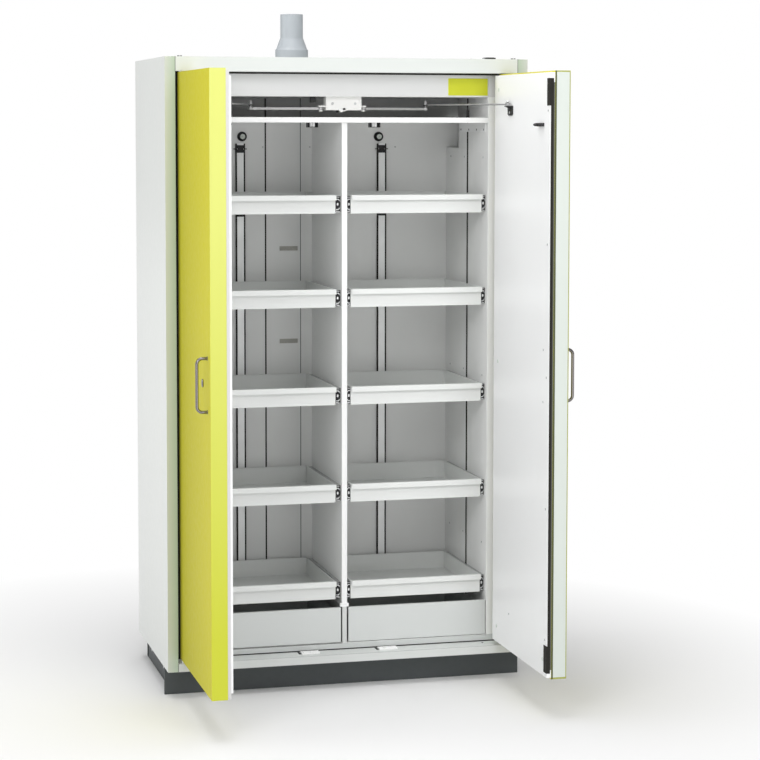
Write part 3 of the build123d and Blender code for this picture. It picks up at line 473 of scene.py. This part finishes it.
# fixings on the walls and on the board's support angles
bm, bm2, bm3 = new(), new(), new()
for sx, facing in ((1, "left"), (-1, "right")):
    for y in (0.110, 0.1897, 0.2795, 0.3714):
        lathe(bm2, [(0.0034, 0), (0.0034, 0.0003), (0.0026, 0.0004), (0, 0.0004)],
              at(sx * 0.4835, YF + y, 1.8226, facing), 20)
    for y, z in ((0.4997, 1.730), (0.3369, 1.730), (0.122, 1.731), (0.1238, 1.004), (0.4997, 1.004), (0.3369, 1.004),
                 (0.122, 0.44), (0.4997, 0.44), (0.3369, 0.44)):
        screw(bm, sx * 0.486, YF + y, z, facing, 0.0034, 0.0014)
for x, z in ((-0.0045, 1.7615), (-0.170, 1.7615), (0.300, 1.7615)):
    screw(bm3, x, YB, z, "front", 0.0028, 0.0012)
piece("wall_screws", bm, "cabinet", "slide_steel")
# painted shade: the support angles' holes are flat near-black discs standing for the shade inside them
piece("angle_holes", bm2, "cabinet", "dark_hole")
piece("back_screws", bm3, "cabinet", "slide_steel")

# front ends of the slides, riding with their shelves
for i, z0 in enumerate(TRAY_Z, 1):
    zc = z0 + 0.030
    for side, s in (("left", -1), ("right", 1)):
        bm, bm2 = new(), new()
        for xt, xw in ((s * 0.0255, 0.011 if s > 0 else -0.007), (s * 0.4715, s * 0.486)):
            d = 1 if xw > xt else -1
            c = (xt + xw - d * 0.0012) / 2
            w = abs(xw - xt) - 0.0012
            m = at(c, YF + 0.0956, zc, "front")
            # black end plate, waisted between its two hooks
            edge = [(0.5, 0.0262), (0.5, 0.0135), (0.34, 0.0100), (0.5, 0.0062), (0.5, -0.0060), (0.36, -0.0100),
                    (0.5, -0.0135), (0.5, -0.0254)]
            plate = [(d * w * u, v) for u, v in edge]
            plate += [(-d * w * 0.5, v) for v in (-0.0254, -0.0185, 0.0190, 0.0262)]
            prism(bm, plate, 0.0, 0.0018, m)
            # light hooks above and below, ring and slanting bars of the front bracket
            for sy in (1, -1):
                hook = [(-0.34, 0.0180), (0.16, 0.0176), (0.30, 0.0148), (0.34, 0.0112), (0.22, 0.0108), (0.16, 0.0136),
                        (0.04, 0.0152), (-0.34, 0.0152)]
                prism(bm2, [(d * w * u, sy * v) for u, v in hook], 0.0017, 0.0029, m)
            prism(bm2, rounded(0.0052, 0.0088, 0.0024, 4, -d * w * 0.06, 0.0004), 0.0017, 0.0031, m)
            prism(bm2, [(-d * w * 0.36, 0.0226), (d * w * 0.30, 0.0218), (d * w * 0.30, 0.0234), (-d * w * 0.36, 0.0242)],
                  0.0017, 0.0028, m)
            prism(bm2, [(-d * w * 0.38, -0.0204), (d * w * 0.34, -0.0226), (d * w * 0.34, -0.0248), (-d * w * 0.38, -0.0230)],
                  0.0017, 0.0028, m)
        piece(f"slide_end_{side}_{i}", bm, f"pull_out_{side}_{i}", "black_plastic", 0.0004)
        piece(f"slide_bracket_{side}_{i}", bm2, f"pull_out_{side}_{i}", "slide_light", 0.0003)

# bare notice plate on the header
bm = new()
prism(bm, rounded(0.1355, 0.056, 0.0022, 5), 0.0, 0.0006, at(0.41575, YF + REBATE, 1.962, "front"))
piece("header_plate", bm, "cabinet", "label_yellow", 0.00015)

# pin on the board and flat contact unit on the roof
bm = new()
lathe(bm, [(0.0062, 0), (0.0062, 0.003), (0.0050, 0.0042), (0.0050, 0.0215), (0.0040, 0.0245), (0.0018, 0.0255), (0, 0.0255)],
      at(0.4255, YF + 0.100, 1.862, "up"), 24)
piece("board_pin", bm, "cabinet", "black_plastic")
bm = new()
prism(bm, rounded(0.0345, 0.046, 0.004, 5), 0.0, 0.0048, at(0.4785, YF + 0.040, 2.052, "up"))
prism(bm, rounded(0.0290, 0.040, 0.0035, 5), 0.0048, 0.0058, at(0.4785, YF + 0.040, 2.052, "up"), 0.95)
piece("roof_contact", bm, "cabinet", "black_plastic", 0.0008)
bm = new()
prism(bm, [(-0.046, -0.004), (0.0, -0.010), (0.0, 0.010), (-0.046, 0.004)], 0.0, 0.0022, at(0.462, YF + 0.040, 2.052, "up"))
piece("roof_contact_tab", bm, "cabinet", "slide_light", 0.0006)



def bar(bm, x0, x1, y0, y1, z0, z1):
    """Straight strip between two corners."""
    x0, x1 = sorted((x0, x1))
    prism(bm, [(x0, y0), (x1, y0), (x1, y1), (x0, y1)], z0, z1, Matrix.Identity(4))


# swelling seal round the door frame, partly real seal and partly painted shade: black strips drawn in the shadow gaps
# under the fascia, beside the doors, over the threshold, on the bottom rail and beside the partition's lower end
bm = new()
bar(bm, -0.5646, 0.5646, YF + 0.064, YF + 0.0671, 2.0002, 2.0059)
for sx in (-1, 1):
    bar(bm, sx * 0.5465, sx * 0.5646, YF + 0.064, YF + 0.0671, 0.118, 2.0015)
bar(bm, -0.5646, 0.5646, YF + 0.0655, YF + 0.0671, 0.1150, 0.1182)
bar(bm, -0.0110, -0.0074, YF + 0.0788, YF + 0.0801, 0.1375, 0.2555)
bar(bm, 0.0077, 0.0109, YF + 0.0788, YF + 0.0801, 0.1375, 0.2555)
bar(bm, -0.4850, -0.0080, YF + 0.0664, YF + 0.0671, 0.1354, 0.1370)
piece("frame_seals", bm, "cabinet", "seal_black", 0.0003)

# joints of the casing sheets, drawn as thin filled seams
bm = new()
for sx in (-1, 1):
    bar(bm, sx * 0.5640, sx * 0.5660, YF - 0.0002, YF + 0.0010, 2.0062, 2.0521)
    bar(bm, sx * 0.5643, sx * 0.5656, YF + 0.0005, -YF - 0.0010, 2.0512, 2.0522)
    bar(bm, sx * 0.5640, sx * 0.5660, YF - 0.0002, YF + 0.0010, 0.0885, 0.1148)
piece("casing_seams", bm, "cabinet", "seam_grey")
# painted shade: a grey line drawn along the threshold's front edge, where its top face turns down
bm = new()
bar(bm, -0.5640, 0.5640, YF - 0.0001, YF + 0.0004, 0.1132, 0.1146)
piece("threshold_line", bm, "cabinet", "line_grey")

# striker plates in plain bright white as painted highlight for the light the steel reflects, painted shade as dark
# slots at their ends and dark discs for shaded holes by the hinge plates, and hinge plates on the threshold
bm, bm2, bm3 = new(), new(), new()
for x0, x1 in ((-0.1535, -0.0925), (0.1075, 0.1705)):
    prism(bm, rounded(x1 - x0, 0.0295, 0.001, 3, (x0 + x1) / 2, YF + 0.0425), 0.1148, 0.1192, Matrix.Identity(4), 0.99)
    bar(bm2, x0 - 0.0085, x0 - 0.0006, YF + 0.030, YF + 0.062, 0.1148, 0.1154)
for sx in (-1, 1):
    prism(bm3, rounded(0.046, 0.019, 0.003, 4, sx * 0.4955, YF + 0.0465), 0.1148, 0.1158, Matrix.Identity(4))
    lathe(bm2, [(0.0032, 0), (0.0032, 0.0006), (0.0025, 0.0008), (0, 0.0008)], at(sx * 0.4667, YF + 0.0427, 0.1150, "up"), 20)
piece("striker_plates", bm, "cabinet", "striker_white", 0.0004)
piece("striker_end_shade", bm2, "cabinet", "dark_hole")
piece("hinge_plates", bm3, "cabinet", "edge_white", 0.0003)

# dark inner joints, partly painted shade: black strips drawn in the shadowed gaps on both sides of the duct covers and
# at the edges of the wall slots, and the seam of the rear wall
bm = new()
for sx in (-1, 1):
    for a, b in ((0.2334, 0.2384), (0.2616, 0.2666)):
        bar(bm, sx * a, sx * b, YB - 0.0082, YB - 0.0014, 0.1500, 1.7735)
    bar(bm, sx * 0.4864, sx * 0.4978, YF + 0.3102, YF + 0.3111, 0.1385, 1.9275)
    bar(bm, sx * 0.4864, sx * 0.4978, YF + 0.2929, YF + 0.2938, 0.1385, 1.9275)
bar(bm, -0.1636, -0.1584, YB + 0.0002, YB + 0.0012, 0.1385, 1.9275)
piece("inner_joints", bm, "cabinet", "seal_black")
bm = new()
bar(bm, -0.0393, -0.0365, YB + 0.0002, YB + 0.0012, 0.1385, 1.9275)
piece("inner_joint_fine", bm, "cabinet", "seam_grey")

# pale lining of the air passage in the upper rear corners
bm = new()
for sx in (-1, 1):
    bar(bm, sx * 0.5288, sx * 0.5301, YF + 0.300, YB - 0.0002, 1.7605, 1.9275)
piece("passage_lining", bm, "cabinet", "board_white")

# flat caps over the upper door pivots
bm = new()
for sx in (-1, 1):
    prism(bm, rounded(0.016, 0.0076, 0.003, 5, sx * 0.550, YF + 0.0042), 2.0519, 2.0551, Matrix.Identity(4), 0.93)
piece("pivot_caps", bm, "cabinet", "seam_grey", 0.0004)

# screws of the roof sheet and the plinth
bm = new()
for x in (-0.52, -0.17, 0.17, 0.52):
    screw(bm, x, 0.292, 2.052, "up", 0.0048, 0.0022, 20)
for sx, facing in ((-1, "left"), (1, "right")):
    for y in (-0.05, 0.2):
        screw(bm, sx * 0.570, y, 0.045, facing, 0.0055, 0.0025, 20)
piece("cover_screws", bm, "cabinet", "zinc_steel")

# ---------------------------------------------------------------------------
# studio
# ---------------------------------------------------------------------------
bm = bmesh.new()
bmesh.ops.create_grid(bm, x_segments=8, y_segments=8, size=30)
me = bpy.data.meshes.new("studio_floor")
bm.to_mesh(me)
bm.free()
floor = bpy.data.objects.new("studio_floor", me)
floor.location = (-0.2, -0.1, 0.0)
scene.collection.objects.link(floor)
fm, fnt, fb = new_mat("studio_floor")
ftc = fnt.nodes.new("ShaderNodeTexCoord")
fnt.links.new(mixed(fnt, mapped(fnt, noise(fnt, ftc.outputs["Object"], 0.4), 0, 1), (0.80, 0.80, 0.80), (0.83, 0.83, 0.83)),
              fb.inputs["Base Color"])
fb.inputs["Roughness"].default_value = 0.9
fb.inputs["Specular IOR Level"].default_value = 0.1
# painted light: far from the object the floor turns into glowing white emission and runs out into plain white
fsep = fnt.nodes.new("ShaderNodeVectorMath")
fsep.operation = "LENGTH"
fnt.links.new(ftc.outputs["Object"], fsep.inputs[0])
fem = fnt.nodes.new("ShaderNodeEmission")
fem.inputs["Color"].default_value = (1.0, 1.0, 1.0, 1.0)
fem.inputs["Strength"].default_value = 1.0
fmx = fnt.nodes.new("ShaderNodeMixShader")
fnt.links.new(mapped(fnt, fsep.outputs["Value"], 0, 1, 0.66, 2.0), fmx.inputs[0])
fnt.links.new(fb.outputs[0], fmx.inputs[1])
fnt.links.new(fem.outputs[0], fmx.inputs[2])
fout = next(n for n in fnt.nodes if n.type == "OUTPUT_MATERIAL")
fnt.links.new(fmx.outputs[0], fout.inputs[0])
me.materials.append(fm)

world = bpy.data.worlds.new("studio")
scene.world = world
world.use_nodes = True
wn = world.node_tree
for n in list(wn.nodes):
    wn.nodes.remove(n)
wo = wn.nodes.new("ShaderNodeOutputWorld")
bg = wn.nodes.new("ShaderNodeBackground")
bg.inputs["Color"].default_value = (1.0, 1.0, 1.0, 1.0)
bg.inputs["Strength"].default_value = 0.27
bgc = wn.nodes.new("ShaderNodeBackground")
bgc.inputs["Color"].default_value = (1.0, 1.0, 1.0, 1.0)
bgc.inputs["Strength"].default_value = 1.0
lp = wn.nodes.new("ShaderNodeLightPath")
mx = wn.nodes.new("ShaderNodeMixShader")
wn.links.new(lp.outputs["Is Camera Ray"], mx.inputs[0])
wn.links.new(bg.outputs[0], mx.inputs[1])
wn.links.new(bgc.outputs[0], mx.inputs[2])
wn.links.new(mx.outputs[0], wo.inputs[0])


def area(name, loc, target, size_x, size_y, power, color=(1, 1, 1)):
    d = bpy.data.lights.new(name, "AREA")
    d.shape = "RECTANGLE"
    d.size, d.size_y = size_x, size_y
    d.energy = power
    d.color = color
    o = bpy.data.objects.new(name, d)
    o.location = loc
    o.rotation_euler = (Vector(target) - Vector(loc)).to_track_quat("-Z", "Y").to_euler()
    scene.collection.objects.link(o)
    return o


area("top_softbox", (-0.6, -0.4, 5.2), (0.0, 0.1, 0.0), 3.6, 3.6, 180)
area("left_high_softbox", (-3.6, -4.8, 3.6), (0.2, -0.2, 1.2), 2.4, 2.0, 92)
area("side_softbox", (-5.5, 0.5, 2.2), (0.0, 0.0, 1.2), 2.6, 3.0, 64)
area("front_high_softbox", (0.6, -4.6, 3.6), (0.0, 0.0, 1.3), 2.6, 1.8, 32)
area("front_top_softbox", (-0.3, -3.6, 4.6), (0.0, 0.0, 1.4), 3.2, 2.0, 22)
area("front_low_softbox", (0.0, -5.2, 0.9), (0.0, 0.0, 1.0), 3.0, 1.4, 28)
